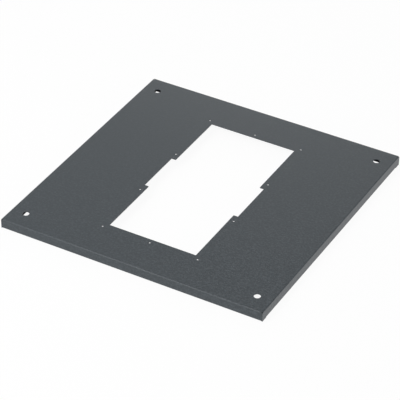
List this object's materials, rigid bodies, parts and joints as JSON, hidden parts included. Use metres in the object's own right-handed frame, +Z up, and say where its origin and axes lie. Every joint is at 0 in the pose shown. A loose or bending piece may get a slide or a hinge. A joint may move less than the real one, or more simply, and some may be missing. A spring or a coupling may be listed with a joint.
{
  "type": "enclosure top plate",
  "caption": "Square folded-steel top plate for an equipment enclosure: a shallow tray with inward lips, a long central cut-out with a wider middle, pilot holes round it and corner fixing holes.",
  "frame": {"origin": "middle of the tray's foot, on the plane of the lips' undersides", "axes": "+Z up out of the panel's top face; +Y along the cut-out's long side, from front to back; +X across it, from left to right"},
  "size_m": [0.6, 0.6, 0.0215],
  "materials": {
    "powder_coated_steel": "fine-textured dark blue-grey powder coat, satin"
  },
  "bodies": {
    "root": {"top_plate": "powder_coated_steel"}
  },
  "joints": []
}
